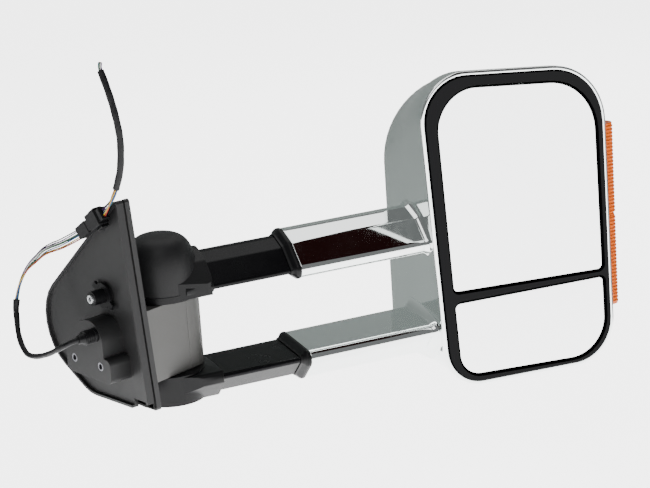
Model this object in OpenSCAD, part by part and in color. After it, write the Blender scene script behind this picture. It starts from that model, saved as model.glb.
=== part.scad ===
// Extendable towing mirror for a car door, right-hand side.
// +X points away from the car, +Y to the front of the car, +Z up; the glass faces -Y.
// The origin is midway between the two fixing holes, on the pad's face that meets the door.

/* [Door plate] */
// Angle of the door plate to the arms, seen from above
plate_angle = 15; // [12:1:18]
// Height of the fixing pad above the plate
pad_h = 22; // [20:1:24]
// Thickness of the door plate
plate_t = 4; // [3:0.5:4]
// Distance between the two fixing holes
hole_pitch = 40; // [36:1:44]
// Radius of the thread hole in each insert
insert_hole_r = 2.5; // [2:0.5:3]
// Height of the sail cover above the plate
cover_h = 7; // [7:0.5:8]

/* [Fold pivot] */
// Distance of the pivot from the origin, away from the car
pivot_x = 80; // [79:1:82]
// Distance of the pivot from the origin, to the front
pivot_y = 12; // [11:1:13]
// Outer radius of the steel pivot tube
pivot_r = 11; // [10:0.5:11]
// Radius of the domed upper knuckle
dome_r = 32.5; // [31:0.5:33]
// Top of the dome
dome_top = 100; // [98:1:104]

/* [Arms] */
// End of both knuckles
knuckle_end = 116; // [114:1:118]
// Outer end of the two arm tubes
tube_end = 270; // [268:1:270]
// Inner end of the upper sleeve
upper_sleeve_start = 200; // [198:1:203]
// Inner end of the lower sleeve
lower_sleeve_start = 203; // [200:1:205]
// Outer end of both sleeves, inside the head
sleeve_end = 340; // [340:1:341]
// Gap between sleeve outline and tube outline
tube_inset = 5; // [5:0.1:5.4]

/* [Head] */
// Front of the bezel
bezel_front = -39; // [-40:0.5:-39]
// Back of the shell
shell_back = 92; // [90:0.5:94]
// Width of the chrome lip around the bezel
shell_lip = 4.5; // [4:0.5:5]
// Gap between glass and bezel
glass_gap = 2.2; // [2.1:0.1:2.3]

/* [Glass drive] */
// Distance of each jackscrew from the centre of the glass
screw_arm = 24; // [23:1:25]
// Teeth on each nut gear
gear_teeth = 24; // [20:4:24]
// Teeth on each motor pinion
pinion_teeth = 8; // [8:1:9]
// Gear module
gear_module = 0.75; // [0.7:0.05:0.8]

/* [Hidden] */
$fn = 64;
eps = 0.5;
fit = 0.05;

// Outlines are lists of corner circles [across, up, radius], anticlockwise.
upper_section = [[-18, 52, 8], [33, 53, 9], [15, 64, 18], [-1, 66, 10]];
lower_section = [[-3, -47, 9], [21, -47, 10], [29, -30, 8.5], [-19, -33, 8]];
head_outline = [[373, -48.5, 35.5], [473.5, -49.5, 37.5], [453.5, 142, 56], [365, 167.5, 39]];
back_outline = [[385, -38, 48], [470, -44, 38], [440, 96, 66], [408, 106, 70]];
upper_glass_outline = [[350.6, 11, 5], [499.3, 4.6, 5], [450, 135, 52.5], [375, 158.5, 36.5]];
lower_glass_outline = [[371.5, -55, 22.5], [469.5, -47, 35.5], [499.8, -13.2, 5],
    [351.5, -10.5, 5]];
plate_outline = [[-57, -37, 3], [20, 0, 41.5], [46, 18, 45], [-37, 145, 3]];
pad_lower = [[-30, -9, 5], [26, -8, 6], [24, 3, 8], [-30, 3, 5]];
pad_upper = [[-20, 0, 6], [20, 0, 8], [0, 22, 16], [-8, 22, 18]];
pillar_outline = [[32, -36, 2.5], [96, -10, 18.5], [32, 17, 2.5]];
flange_outline = [[-40, -19, 5], [22, -19, 5], [22, 37, 5], [-37, 37, 5]];
upper_plan = [[80, 12, 31.8], [110, -17.5, 6], [110, 35.5, 6]];
lower_plan = [[80, 12, 30.2], [112, -22, 6], [112, 31.5, 6]];
lens_outline = [[512, -29, 4], [520.5, -26, 6], [512, -8, 4]];

// Door plate levels, measured outwards from the pad's face
plate_door_face = pad_h;
plate_back_face = pad_h + plate_t;
rim_h = 3;
rim_w = 2.5;
gasket_back = plate_back_face + 2;
cover_face = plate_back_face + cover_h;
cover_wall = 2.5;
flange_face = plate_back_face + 3;
screw_head_t = 1.3;
insert_r = 4;
insert_len = 14;
stud_at = [-7, 58];
gland_at = [-16, 28.5];
gland_r = 6.5;
seam_at = 90;
bracket_screw_at = [[-38, -17], [20, -17], [20, 35], [-36, 35]];
bracket_screw_r = 2.5;

// Heights on the fold pivot
pillar_z = [-24.5, 43.5];
web_z = [-20, 39];
upper_knuckle_z = 44;
lower_knuckle_z = -25;
core_top = 80;
cap_r = 18.8;
spring_z = 60.5;
spring_pitch = 2.2;
tube_root = knuckle_end - 17;
tube_wall = 2.5;
sleeve_wall = 2;
run_gap = 0.35;
glide_len = 18;
tube_screw_x = knuckle_end - 9;

// Head levels along Y
bezel_back = bezel_front + 11;
glass_front = bezel_front + 2;
glass_t = 2;
backing_t = 3;
tilt_y = -27;
pan_y = -21;
case_front = -12;
frame_front = 14;
frame_t = 4;
case_r = 40;
upper_pivot = [424, 97];
lower_pivot = [424, -40];
gear_r = gear_teeth * gear_module / 2;
pinion_r = pinion_teeth * gear_module / 2;
motor_offset = gear_r + pinion_r + 0.15;
gear_y = [-8, -2];
plunger_r = 3.5;
ball_r = 3;
ball_y = -28.3;
ear_in = 7;
ear_out = 10.5;
ear_r = 5;
stub_r = 2.5;
boss_ring = 34;
boss_angles = [45, 135, 225, 315];
frame_screw_r = 2;
lens_z = [-41, 138];

// Route of the wiring loom in the door plate's own axes
cable_route = [[-18, -16, 28.5], [-22, -15.5, 28.2], [-26, -10, 25], [-29, 0, 19.5],
    [-30, 12, 13.5], [-30, 25, 8.5], [-29, 39, 4.5], [-28, 52, 3.5], [-26, 62, 7.5],
    [-24, 69, 13], [-22, 74, 20], [-20, 77, 28], [-18, 80, 37], [-16, 80.5, 45.5]];
wires_route = [[-16, 80.5, 45.5], [-13, 78, 59], [-11, 71.5, 70], [-9, 64, 79], [-6, 55, 87],
    [-4, 46, 94], [-1, 36, 99], [1, 27, 102.5], [4, 18, 107], [7, 10, 111.5], [9, 3, 115.5]];
plug_from = [9, 3, 115.5];
plug_to = [12, -30, 139];
pigtail_route = [[12, -30, 139], [12.5, -37, 145], [13, -43, 152], [14, -49.5, 162.5]];
sleeve_route = [[14, -49.5, 162.5], [15, -56, 178], [15, -59.5, 192], [15, -61, 207],
    [14, -60.5, 221], [13, -57.5, 237], [12, -53, 251.5], [12, -46, 265]];
ends_route = [[12, -46, 265], [12, -45.5, 268.5], [12, -46.5, 272]];
cable_r = 2.2;
wires_r = 2.6;
pigtail_r = 2.6;
sleeve_r = 3;
ends_r = 2.4;
plug_w = 15;
plug_t = 11;
clip_at = 22;
clip_len = 9;

function unit(v) = v / norm(v);
function tangent_angle(a, b) =
    atan2(b.y - a.y, b.x - a.x) - acos((a.z - b.z) / norm([b.x - a.x, b.y - a.y]));

// Points of a rounded outline, drawn in by t
function outline_points(c, t, steps = 8) = [
    for (i = [0 : len(c) - 1])
        let (before = tangent_angle(c[(i + len(c) - 1) % len(c)], c[i]),
            after = tangent_angle(c[i], c[(i + 1) % len(c)]),
            turn = (after - before + 720) % 360,
            r = max(c[i].z - t, 0.4))
        for (k = [0 : steps])
            let (a = before + turn * k / steps)
            [c[i].x + r * cos(a), c[i].y + r * sin(a)]];

module outline(c, t = 0, steps = 8) polygon(outline_points(c, t, steps));

// Slabs of a flat outline between two levels along X or Y
module slab_x(x0, x1) translate([x0, 0, 0]) rotate([90, 0, 90]) linear_extrude(x1 - x0) children();
module slab_y(y0, y1) translate([0, y1, 0]) rotate([90, 0, 0]) linear_extrude(y1 - y0) children();
module slab_z(z0, z1) translate([0, 0, z0]) linear_extrude(z1 - z0) children();
module rod_x(x0, x1, r, at = [0, 0]) translate([x0, at.x, at.y]) rotate([0, 90, 0])
    cylinder(h = x1 - x0, r = r);
module rod_y(y0, y1, r, at) translate([at.x, y1, at.y]) rotate([90, 0, 0])
    cylinder(h = y1 - y0, r = r);
module rod_z(z0, z1, r, at) translate([at.x, at.y, z0]) cylinder(h = z1 - z0, r = r);
module on_door() rotate([0, 0, plate_angle]) children();
module at_pivot(z = 0) translate([pivot_x, pivot_y, z]) children();

// A round cord of eight sides through the points of a route
function route_dir(p, i) = unit(p[min(i + 1, len(p) - 1)] - p[max(i - 1, 0)]);
function ring(c, d, r) =
    let (side = unit(cross(d, abs(d.z) > 0.8 ? [1, 0, 0] : [0, 0, 1])), up = cross(side, d))
    [for (k = [0 : 7]) c + r * (cos(45 * k) * side + sin(45 * k) * up)];
module cord(p, r) {
    points = [for (i = [0 : len(p) - 1]) each ring(p[i], route_dir(p, i), r)];
    last = 8 * (len(p) - 1);
    sides = [for (i = [0 : len(p) - 2], k = [0 : 7]) each
        let (a = 8 * i + k, b = 8 * i + (k + 1) % 8) [[a, b, b + 8], [a, b + 8, a + 8]]];
    polyhedron(points, concat([[for (k = [7 : -1 : 0]) k]], sides, [[for (k = [0 : 7]) last + k]]));
}

// ---- Door plate ----
module base_plate() color("#3b3b3d") on_door() difference() {
    union() {
        slab_x(plate_door_face, plate_back_face) outline(plate_outline);
        slab_x(plate_door_face - rim_h, plate_door_face + eps) difference() {
            outline(plate_outline);
            outline(plate_outline, rim_w);
        }
        slab_x(0, plate_door_face + eps) union() {
            outline(pad_lower);
            outline(pad_upper);
        }
        rod_x(plate_door_face - 2, plate_door_face + eps, 9, stud_at);
    }
    difference() {
        slab_x(3, plate_back_face + eps) union() {
            outline(pad_lower, 3);
            outline(pad_upper, 3);
        }
        for (s = [-1, 1]) rod_x(0, plate_back_face, 7, [s * hole_pitch / 2, 0]);
        rod_x(0, plate_back_face, 9, gland_at);
    }
    for (s = [-1, 1]) rod_x(-eps, insert_len, insert_r, [s * hole_pitch / 2, 0]);
    rod_x(-eps, plate_back_face + eps, gland_r, gland_at);
    rod_x(0, plate_back_face + eps, 4, stud_at);
    for (p = bracket_screw_at)
        rod_x(plate_back_face - 3, plate_back_face + eps, bracket_screw_r, p);
    translate([plate_door_face - 5, -62, -44]) cube([12, 27, 12]);
}

module door_gasket() color("#1d1d1e") on_door() difference() {
    slab_x(plate_back_face, gasket_back) difference() {
        outline(plate_outline, 1.5);
        outline(plate_outline, 7);
    }
    translate([plate_back_face - 1, -70, -50]) cube([8, 16, 9]);
}

module sail_cover() color("#48484a") on_door() difference() {
    slab_x(gasket_back, cover_face) outline(plate_outline);
    slab_x(gasket_back - eps, cover_face - cover_wall) outline(plate_outline, cover_wall);
    slab_x(cover_face - 5, cover_face + eps) intersection() {
        translate([-40, web_z[0] - 3.2]) square([80, web_z[1] - web_z[0] + 6.4]);
        translate([-31.6, -100]) square([44.4, 200]);
    }
}

module screw_inserts() color("#8d9093") on_door() for (s = [-1, 1]) difference() {
    rod_x(0, insert_len, insert_r, [s * hole_pitch / 2, 0]);
    rod_x(-1, insert_len + 1, insert_hole_r, [s * hole_pitch / 2, 0]);
}

module upper_stud() color("#b9bbbd") on_door() difference() {
    union() {
        rod_x(4, plate_back_face, 4, stud_at);
        rod_x(plate_back_face, plate_back_face + 3.5, 6.5, stud_at);
    }
    rod_x(3, 8, 2, stud_at);
}

module stud_clip() color("#1c1c1e") on_door() difference() {
    union() {
        rod_x(6, 20, 6.5, stud_at);
        rod_x(17.5, 20, 11.5, stud_at);
        for (a = [35, 215])
            translate([17.5, stud_at.x, stud_at.y]) rotate([a, 0, 0]) translate([0, 9, -3])
                cube([2.5, 6.5, 6]);
    }
    rod_x(5, 21, 4, stud_at);
}

module cable_gland() color("#19191b") on_door() difference() {
    union() {
        rod_x(-12, 8, gland_r, gland_at);
        rod_x(-18, -12, 4.5, gland_at);
    }
    rod_x(-17.9, 9, cable_r, gland_at);
}

// ---- Fixed pivot bracket and its covers ----
module pivot_bracket() color("#8f9295") difference() {
    union() {
        on_door() slab_x(plate_back_face, flange_face) outline(flange_outline);
        on_door() slab_z(web_z[0], web_z[1]) {
            intersection() {
                outline(pillar_outline, 3.5);
                translate([flange_face - 1, -31]) square([100, 43.2]);
            }
            translate([flange_face - 1, -31]) square([17, 43.2]);
        }
    }
    at_pivot() rod_z(web_z[0] - 1, web_z[1] + 1, pivot_r, [0, 0]);
    on_door() for (p = bracket_screw_at) rod_x(20, 34, bracket_screw_r, p);
    on_door() rod_x(20, 50, 5, gland_at);
}

module pillar_shell() difference() {
    slab_z(pillar_z[0], pillar_z[1]) outline(pillar_outline);
    slab_z(pillar_z[0] + 2, pillar_z[1] - 2) outline(pillar_outline, 2.5);
    translate([0, -60, -60]) cube([cover_face, 120, 120]);
    rotate([0, 0, -plate_angle]) at_pivot() rod_z(-50, 50, 15.8, [0, 0]);
}

module pillar_cover() color("#6b6b6a") on_door() intersection() {
    pillar_shell();
    translate([0, -60, -60]) cube([seam_at, 120, 120]);
}

module pillar_nose() color("#6b6b6a") on_door() intersection() {
    pillar_shell();
    translate([seam_at, -60, -60]) cube([60, 120, 120]);
}

module bracket_screws() color("#9da0a3") on_door() for (p = bracket_screw_at) {
    rod_x(plate_back_face - 3, flange_face, bracket_screw_r, p);
    rod_x(flange_face, flange_face + screw_head_t, 4.5, p);
}

module pivot_tube() color("#a8abae") difference() {
    union() {
        at_pivot() rod_z(-50, 79, pivot_r, [0, 0]);
        at_pivot() rod_z(-50, -46.5, 16, [0, 0]);
    }
    at_pivot() rod_z(-51, 80, pivot_r - 2.5, [0, 0]);
}

module detent_rings() color("#8a8d90") at_pivot() for (z = [[web_z[1], 43.5], [-24.5, web_z[0]]])
    difference() {
        rod_z(z[0], z[1], 15.2, [0, 0]);
        rod_z(z[0] - 1, z[1] + 1, pivot_r, [0, 0]);
    }

// A stack of four dished washers
module disc_springs() color("#7f8285") at_pivot(spring_z) for (k = [0 : 3])
    translate([0, 0, spring_pitch * k]) rotate_extrude()
        polygon([[11.3, k % 2 * 1.1], [16.5, 1.1 - k % 2 * 1.1], [16.5, 2.2 - k % 2 * 1.1],
            [11.3, 1.1 + k % 2 * 1.1]]);

module pivot_nut() color("#9da0a3") difference() {
    at_pivot(spring_z + 4 * spring_pitch) union() {
        cylinder(h = 1.8, r = 16.5);
        translate([0, 0, 1.8]) cylinder(h = 6, r = 16, $fn = 6);
    }
    at_pivot() rod_z(spring_z, 90, pivot_r, [0, 0]);
}

// ---- Wiring loom ----
module loom_cable() color("#151516") on_door() cord(cable_route, cable_r);
module loom_wires() color("#a04030") on_door() cord(wires_route, wires_r);
module pigtail_wires() color("#a04030") on_door() cord(pigtail_route, pigtail_r);
module pigtail_sleeve() color("#151516") on_door() cord(sleeve_route, sleeve_r);
module wire_ends() color("#a04030") on_door() cord(ends_route, ends_r);

// The connector's own axes: along it, towards the plate, and across it
plug_run = plug_to - plug_from;
plug_len = norm(plug_run);
module along_plug() translate(plug_from) rotate([0, 0, atan2(plug_run.y, plug_run.x)])
    rotate([0, -asin(plug_run.z / plug_len), 0]) children();
module plug_block(s0, s1, w, t) along_plug()
    translate([s0 * plug_len, -w / 2, -t / 2]) cube([(s1 - s0) * plug_len, w, t]);

module plug_housing() color("#121213") on_door() {
    plug_block(0, 0.38, plug_t - 2, plug_w - 4);
    plug_block(0.38, 0.5, plug_t - 3, plug_w - 5);
}

module socket_housing() color("#18191b") on_door() {
    plug_block(0.5, 0.86, plug_t, plug_w);
    plug_block(0.86, 1, plug_t - 3, plug_w - 4);
}

// A clip on the plate's rim, with two arms around the connector
module loom_clip() color("#1c1c1e") on_door() difference() {
    along_plug() {
        translate([clip_at, plug_t / 2, -plug_w / 2 - 2]) cube([clip_len, 4, plug_w + 4]);
        for (z = [-plug_w / 2 - 2, plug_w / 2 + 0.2])
            translate([clip_at, -1, z]) cube([clip_len, plug_t / 2 + 1.5, 1.8]);
    }
    translate([plate_door_face - rim_h, -60, 60]) cube([20, 120, 120]);
}

// ---- Arms ----
function dome_profile(r, top, base, power = 3.4) = [
    for (k = [0 : 14])
        let (a = 90 * k / 14)
        [r * pow(cos(a), 2 / power), base + (top - base) * pow(sin(a), 2 / power)]];

module dome_body(r, top, base) at_pivot() rotate_extrude()
    polygon(concat([[0, base]], dome_profile(r, top, base)));

module tube_pocket(section) slab_x(tube_root, knuckle_end + 1) outline(section, tube_inset);

module upper_knuckle() color("#2b2b2d") difference() {
    union() {
        at_pivot() rod_z(upper_knuckle_z, 50, dome_r + 0.5, [0, 0]);
        intersection() {
            at_pivot() rod_z(upper_knuckle_z, core_top, dome_r - 3.2, [0, 0]);
            dome_body(dome_r - 3.2, dome_top - 3.2, upper_knuckle_z);
        }
        difference() {
            intersection() {
                slab_x(40, knuckle_end) outline(upper_section, 0.5);
                slab_z(upper_knuckle_z, 90) outline(upper_plan, 0, 24);
            }
            dome_body(dome_r + 0.1, dome_top + 0.2, 49.9);
        }
        slab_x(90, knuckle_end) outline(upper_section, 3.2);
    }
    at_pivot() rod_z(upper_knuckle_z - 1, 60.5, 14, [0, 0]);
    at_pivot() rod_z(60, core_top + 1, 18, [0, 0]);
    tube_pocket(upper_section);
    rod_z(upper_knuckle_z - 1, 60, 2.5, [tube_screw_x, 7]);
}

module upper_dome() color("#3f3f40") difference() {
    dome_body(dome_r, dome_top, 50);
    dome_body(dome_r - 3, dome_top - 3, 49);
    slab_x(90, knuckle_end + 5) outline(upper_section, 3.2);
}

module lower_knuckle() color("#2b2b2d") difference() {
    union() {
        at_pivot() rod_z(-52, lower_knuckle_z, dome_r - 1, [0, 0]);
        intersection() {
            slab_x(40, knuckle_end + 2) outline(lower_section, 1.5);
            slab_z(-58, lower_knuckle_z) outline(lower_plan, 0, 24);
        }
    }
    at_pivot() rod_z(-45.5, lower_knuckle_z + 1, 14, [0, 0]);
    at_pivot() rod_z(-60, -45, 18, [0, 0]);
    slab_x(tube_root, knuckle_end + 3) outline(lower_section, tube_inset);
    at_pivot() rod_z(-60, -49.9, cap_r, [0, 0]);
    rod_z(-60, -40, 2.5, [tube_screw_x, 7]);
}

module lower_cap() color("#2b2b2d") at_pivot() difference() {
    rotate_extrude() polygon([[0, -49.9], [cap_r, -49.9], [cap_r, -53], [cap_r - 1.5, -56],
        [14, -58], [0, -58]]);
    rod_z(-51, -49, 17.5, [0, 0]);
}

module pivot_bushes() color("#c9b98c") at_pivot()
    for (z = [[upper_knuckle_z, 60.5], [-45.5, lower_knuckle_z]]) difference() {
        rod_z(z[0], z[1], 14, [0, 0]);
        rod_z(z[0] - 1, z[1] + 1, pivot_r + fit, [0, 0]);
    }

module arm_tube(section, screw_z) difference() {
    slab_x(tube_root, tube_end) outline(section, tube_inset);
    slab_x(tube_root - 1, tube_end + 1) outline(section, tube_inset + tube_wall);
    rod_z(screw_z - 8, screw_z + 8, 2.5, [tube_screw_x, 7]);
}

module upper_tube() color("#242427") arm_tube(upper_section, 49);
module lower_tube() color("#242427") arm_tube(lower_section, -52);

module glide(section) difference() {
    slab_x(tube_end - glide_len, tube_end) outline(section, sleeve_wall + run_gap);
    slab_x(tube_end - glide_len - 1, tube_end + 1) outline(section, tube_inset);
}

module upper_glide() color("#d8d4c8") glide(upper_section);
module lower_glide() color("#d8d4c8") glide(lower_section);

module tube_screws() color("#9da0a3") {
    rod_z(upper_knuckle_z, 54, 2.5, [tube_screw_x, 7]);
    rod_z(-57, -47, 2.5, [tube_screw_x, 7]);
}

// ---- Head ----
module collar(section, start) difference() {
    union() {
        hull() {
            slab_x(start - 9, start - 8.5) outline(section, 4);
            slab_x(start - 2.5, start) outline(section, -0.6);
        }
        slab_x(start - 1, start + 12) outline(section, sleeve_wall);
    }
    slab_x(start - 12, start + 14) outline(section, tube_inset - run_gap);
}

module upper_collar() color("#141415") collar(upper_section, upper_sleeve_start);
module lower_collar() color("#141415") collar(lower_section, lower_sleeve_start);

module sleeve(section, start) difference() {
    slab_x(start, sleeve_end) outline(section);
    slab_x(start - 1, sleeve_end + 1) outline(section, sleeve_wall);
}

module upper_sleeve() color("#d9dcdf") sleeve(upper_section, upper_sleeve_start);
module lower_sleeve() color("#d9dcdf") sleeve(lower_section, lower_sleeve_start);

// The shell's outline changes from that of the bezel to a lower one at its rounded back
shell_round = [32, 28];
function head_at(y) =
    let (t = (y - glass_front) / (shell_back - glass_front), share = t * t * (3 - 2 * t))
    [for (i = [0 : 3]) (1 - share) * head_outline[i] + share * back_outline[i]];
function ring_y(c, t, y) = [for (p = outline_points(c, t)) [p.x, y, p.y]];

// A closed solid through rings of equal length, from front to back
module loft(rings) {
    n = len(rings[0]);
    last = n * (len(rings) - 1);
    sides = [for (i = [0 : len(rings) - 2], k = [0 : n - 1]) each
        let (a = n * i + k, b = n * i + (k + 1) % n) [[a, b, b + n], [a, b + n, a + n]]];
    polyhedron([for (r = rings) each r],
        concat([[for (k = [n - 1 : -1 : 0]) k]], sides, [[for (k = [0 : n - 1]) last + k]]));
}

module shell_body(front, back, inset) {
    straight = back - shell_round[0] - front;
    loft([for (k = [0 : 11])
        let (a = max(k - 5, 0) * 15,
            y = front + straight * min(k, 5) / 5 + shell_round[0] * sin(a))
        ring_y(head_at(y), inset + shell_round[1] * (1 - cos(a)), y)]);
}

module rear_shell() color("#dfe2e5") difference() {
    shell_body(bezel_front + 2, shell_back, -shell_lip);
    shell_body(bezel_back, shell_back - 2.5, 2.5 - shell_lip);
    slab_y(bezel_front, bezel_back + 1) outline(head_outline);
    slab_x(315, 350) outline(upper_section);
    slab_x(315, 350) outline(lower_section);
    lens_cut();
}

module lens_cut() slab_z(lens_z[0] - 1, lens_z[1] + 1) outline(lens_outline, -0.1);

module bezel() color("#0b0b0c") difference() {
    slab_y(bezel_front, bezel_back) outline(head_outline);
    slab_y(bezel_front - 1, bezel_back + 1) outline(upper_glass_outline, -glass_gap);
    slab_y(bezel_front - 1, bezel_back + 1) outline(lower_glass_outline, -glass_gap);
    lens_cut();
}

module sleeve_socket(section) difference() {
    intersection() {
        slab_x(337, sleeve_end + 3.5) outline(section, -3);
        slab_y(-14, 46) outline(head_outline, -1);
    }
    slab_x(336, sleeve_end) outline(section);
}

module head_frame() color("#2f3032") difference() {
    union() {
        slab_y(frame_front, frame_front + frame_t) difference() {
            outline(head_at(frame_front + frame_t), 9);
            translate([360, -22]) square([34, 70]);
            translate([454, -22]) square([34, 70]);
            translate([375, 150]) square([70, 16]);
        }
        sleeve_socket(upper_section);
        sleeve_socket(lower_section);
        translate([sleeve_end, frame_front, 44]) cube([20, frame_t, 38]);
        translate([sleeve_end, frame_front, -54]) cube([20, frame_t, 30]);
    }
    slab_x(330, sleeve_end) outline(upper_section);
    slab_x(330, sleeve_end) outline(lower_section);
    for (a = boss_angles) rod_y(frame_front - 1, frame_front + frame_t + 1, frame_screw_r,
        upper_pivot + boss_ring * [cos(a), sin(a)]);
}

module indicator_lens() color("#ff8a1e", 0.85) difference() {
    slab_z(lens_z[0], lens_z[1]) outline(lens_outline);
    slab_z(lens_z[0] + 2, lens_z[1] - 2) outline(lens_outline, 2);
    translate([500, -40, -50]) cube([10.5, 40, 190]);
}

module indicator_board() color("#2e6b3c") {
    translate([511.2, -26, lens_z[0] + 4]) cube([1.4, 16, 170]);
    for (k = [0 : 9]) translate([512.6, -23.5, lens_z[0] + 10 + 17 * k]) cube([1.6, 3.5, 5]);
}

module frame_screws() color("#9da0a3") for (a = boss_angles) {
    at = upper_pivot + boss_ring * [cos(a), sin(a)];
    rod_y(2, frame_front + frame_t, frame_screw_r, at);
    rod_y(frame_front + frame_t, frame_front + frame_t + 2.5, 3.8, at);
}

// Two ears around an upright trunnion
module yoke(at) difference() {
    for (s = [-1, 1]) translate([at.x, 0, at.y + (s > 0 ? ear_in : -ear_out)]) union() {
        translate([0, pan_y, 0]) cylinder(h = ear_out - ear_in, r = ear_r);
        translate([-ear_r, pan_y, 0]) cube([2 * ear_r, case_front - pan_y + eps, ear_out - ear_in]);
    }
    translate([at.x, pan_y, at.y - 20]) cylinder(h = 40, r = stub_r + fit);
}

module actuator_case() color("#232427") difference() {
    union() {
        difference() {
            rod_y(case_front, frame_front, case_r, upper_pivot);
            rod_y(case_front + 2.5, frame_front + 1, case_r - 2, upper_pivot);
        }
        for (a = boss_angles)
            rod_y(case_front + 1, frame_front, 4.5, upper_pivot + boss_ring * [cos(a), sin(a)]);
        yoke(upper_pivot);
    }
    for (a = boss_angles)
        rod_y(2, frame_front + 1, frame_screw_r, upper_pivot + boss_ring * [cos(a), sin(a)]);
    for (p = [[screw_arm, 0], [0, -screw_arm]])
        rod_y(case_front - 1, case_front + 4, plunger_r + fit, upper_pivot + p);
}

module drive_motors() color("#9a9da0") for (p = [[screw_arm, motor_offset],
        [-motor_offset, -screw_arm]]) difference() {
    rod_y(-1, frame_front, 6, upper_pivot + p);
    rod_y(-2, 4, 1 + fit, upper_pivot + p);
}

module lower_post() color("#232427") union() {
    rod_y(case_front, frame_front, 13, lower_pivot);
    yoke(lower_pivot);
}

// ---- Glass drive ----
module toothed(teeth) {
    pitch_r = teeth * gear_module / 2;
    step = 360 / teeth;
    polygon([for (k = [0 : teeth - 1])
        each [for (p = [[-0.28, -1.05], [-0.1, 0.85], [0.1, 0.85], [0.28, -1.05]])
            let (r = pitch_r + p[1] * gear_module, a = (k + p[0]) * step)
            [r * cos(a), r * sin(a)]]]);
}

module nut_gear(at, turn) difference() {
    translate([at.x, gear_y[1], at.y]) rotate([90, 0, 0]) rotate([0, 0, turn])
        linear_extrude(gear_y[1] - gear_y[0]) toothed(gear_teeth);
    rod_y(gear_y[0] - 1, gear_y[1] + 1, plunger_r + fit, at);
}

module pinion(at, turn) union() {
    translate([at.x, gear_y[1], at.y]) rotate([90, 0, 0]) rotate([0, 0, turn])
        linear_extrude(gear_y[1] - gear_y[0]) toothed(pinion_teeth);
    rod_y(gear_y[1] - 1, 3.5, 1, at);
}

module plunger(at) union() {
    rod_y(ball_y, 6, 2.2, at);
    rod_y(-24, 6, plunger_r, at);
    translate([at.x, ball_y, at.y]) sphere(r = ball_r);
}

pan_screw = upper_pivot + [screw_arm, 0];
tilt_screw = upper_pivot + [0, -screw_arm];
module pan_gear() color("#e8e4da") nut_gear(pan_screw, 0);
module tilt_gear() color("#e8e4da") nut_gear(tilt_screw, 0);
module pan_pinion() color("#b5953f") pinion(pan_screw + [0, motor_offset], 180 / pinion_teeth);
module tilt_pinion() color("#b5953f") pinion(tilt_screw - [motor_offset, 0], 180 / pinion_teeth);
module pan_plunger() color("#c8cacc") plunger(pan_screw);
module tilt_plunger() color("#c8cacc") plunger(tilt_screw);

module gimbal(at) union() {
    translate([at.x - 6.5, -30, at.y - 6.5]) cube([13, 12.5, 13]);
    rod_z(at.y - 11, at.y + 11, stub_r, [at.x, pan_y]);
    translate([0, tilt_y, at.y]) rotate([0, 90, 0]) translate([0, 0, at.x - 11])
        cylinder(h = 22, r = stub_r);
}

module upper_gimbal() color("#e8e4da") gimbal(upper_pivot);
module lower_gimbal() color("#e8e4da") gimbal(lower_pivot);

module backing(outline_c, at, cups) {
    back = glass_front + glass_t + backing_t;
    difference() {
        union() {
            slab_y(glass_front + glass_t, back) outline(outline_c, 0.8);
            for (s = [-1, 1]) translate([at.x + (s > 0 ? ear_in : -ear_out), 0, at.y]) union() {
                translate([0, tilt_y, 0]) rotate([0, 90, 0])
                    cylinder(h = ear_out - ear_in, r = ear_r);
                translate([0, back - eps, -ear_r])
                    cube([ear_out - ear_in, tilt_y - back + eps, 2 * ear_r]);
            }
            for (p = cups) rod_y(back - eps, back + 4.5, 6.4, at + p);
        }
        for (p = cups) rod_y(back, back + 5, 4.6, at + p);
        translate([at.x - 12, tilt_y, at.y]) rotate([0, 90, 0]) cylinder(h = 24, r = stub_r + fit);
    }
}

module upper_backing() color("#1d1d1f")
    backing(upper_glass_outline, upper_pivot, [[screw_arm, 0], [0, -screw_arm]]);
module lower_backing() color("#1d1d1f") backing(lower_glass_outline, lower_pivot, []);
module upper_glass() color("#eef3f6") slab_y(glass_front, glass_front + glass_t)
    outline(upper_glass_outline, 0, 12);
module lower_glass() color("#eef3f6") slab_y(glass_front, glass_front + glass_t)
    outline(lower_glass_outline, 0, 12);

base_plate();
door_gasket();
sail_cover();
screw_inserts();
upper_stud();
stud_clip();
cable_gland();
pivot_bracket();
pillar_cover();
pillar_nose();
bracket_screws();
pivot_tube();
detent_rings();
disc_springs();
pivot_nut();
loom_clip();
loom_cable();
loom_wires();
plug_housing();
socket_housing();
pigtail_wires();
pigtail_sleeve();
wire_ends();
upper_knuckle();
upper_dome();
lower_knuckle();
lower_cap();
pivot_bushes();
upper_tube();
lower_tube();
upper_glide();
lower_glide();
tube_screws();
upper_collar();
lower_collar();
upper_sleeve();
lower_sleeve();
rear_shell();
bezel();
head_frame();
indicator_lens();
indicator_board();
frame_screws();
actuator_case();
drive_motors();
lower_post();
pan_gear();
tilt_gear();
pan_pinion();
tilt_pinion();
pan_plunger();
tilt_plunger();
upper_gimbal();
upper_backing();
upper_glass();
lower_gimbal();
lower_backing();
lower_glass();
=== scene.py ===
import math

import bmesh
import bpy
from mathutils import Matrix, Vector
from mathutils.kdtree import KDTree


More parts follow.
